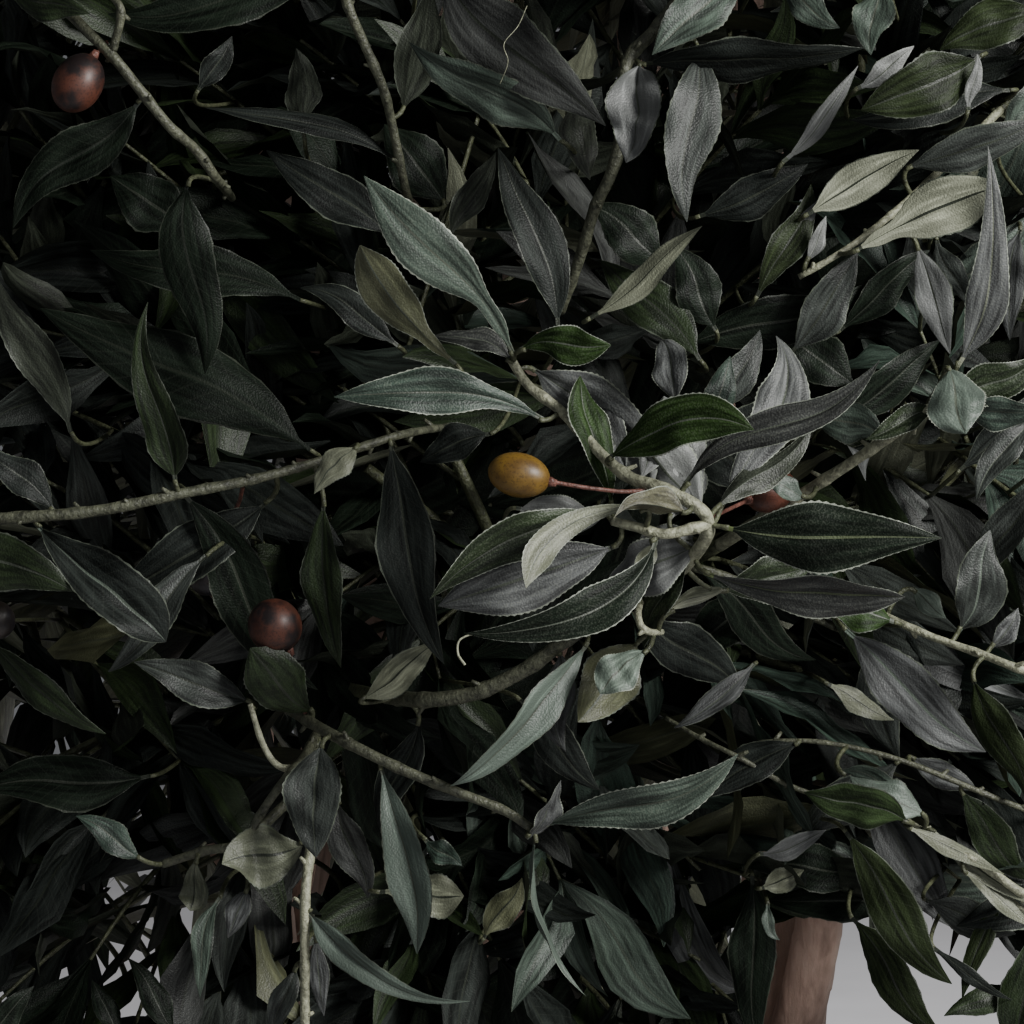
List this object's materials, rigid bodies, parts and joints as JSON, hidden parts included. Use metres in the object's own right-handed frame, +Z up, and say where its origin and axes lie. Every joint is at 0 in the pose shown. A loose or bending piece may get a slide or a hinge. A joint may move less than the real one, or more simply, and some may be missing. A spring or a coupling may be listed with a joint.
{
  "type": "potted olive tree",
  "caption": "Artificial olive tree in a plain clay pot: short fluted trunk forking into boughs that carry airy masses of narrow grey-green fabric leaves and small olives.",
  "frame": {"origin": "centre of the flat underside of the pot, on the ground", "axes": "+Z up; -Y is the front of the crown that the picture looks at, with +X to its right"},
  "size_m": [0.9073, 0.9384, 1.6315],
  "materials": {
    "clay": "unglazed, matte",
    "soil": "crumbly, dry",
    "bark": "dry fluted bark",
    "foliage": "printed velvety cloth"
  },
  "bodies": {
    "root": {"pot": "clay", "soil": "soil", "trunk": "bark", "bough_1": "bark", "bough_2": "bark", "bough_3": "bark", "bough_4": "bark", "bough_5": "bark", "offshoot_low_1": "bark", "offshoot_low_2": "bark", "offshoot_low_3": "bark", "offshoot_low_4": "bark", "offshoot_low_5": "bark", "offshoot_high_1": "bark", "offshoot_high_2": "bark", "offshoot_high_3": "bark", "offshoot_high_4": "bark", "offshoot_top": "bark", "foliage_low_1": "foliage", "foliage_low_2": "foliage", "foliage_low_3": "foliage", "foliage_low_4": "foliage", "foliage_low_5": "foliage", "foliage_mid_1": "foliage", "foliage_mid_2": "foliage", "foliage_mid_3": "foliage", "foliage_mid_4": "foliage", "foliage_mid_5": "foliage", "foliage_high_1": "foliage", "foliage_high_2": "foliage", "foliage_high_3": "foliage", "foliage_high_4": "foliage", "foliage_top": "foliage"}
  },
  "joints": []
}
